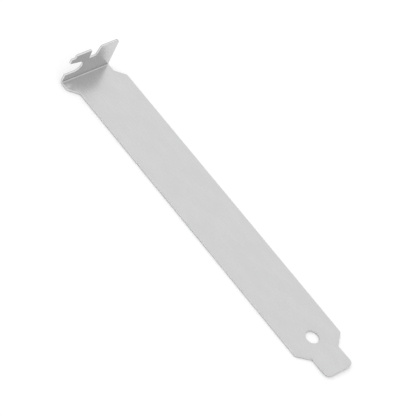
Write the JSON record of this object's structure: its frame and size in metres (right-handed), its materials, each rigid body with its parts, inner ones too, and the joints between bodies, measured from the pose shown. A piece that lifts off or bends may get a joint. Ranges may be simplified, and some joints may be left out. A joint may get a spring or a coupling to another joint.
{
  "type": "slot cover bracket",
  "caption": "Folded sheet-steel cover that closes an expansion slot, with a screw tab at one end and a locating tongue at the other.",
  "frame": {"origin": "on the strip's underside, at the middle of the strip's width and of the overall length", "axes": "+Y along the strip towards the screw tab, +Z out of the strip on the side to which the tab is folded, +X across the strip, away from the side to which the neck and tab are stepped"},
  "size_m": [0.0214, 0.12, 0.0119],
  "materials": {
    "sheet_steel": "satin, plated, with fine rolling grain"
  },
  "bodies": {
    "root": {"slot_cover": "sheet_steel"}
  },
  "joints": []
}
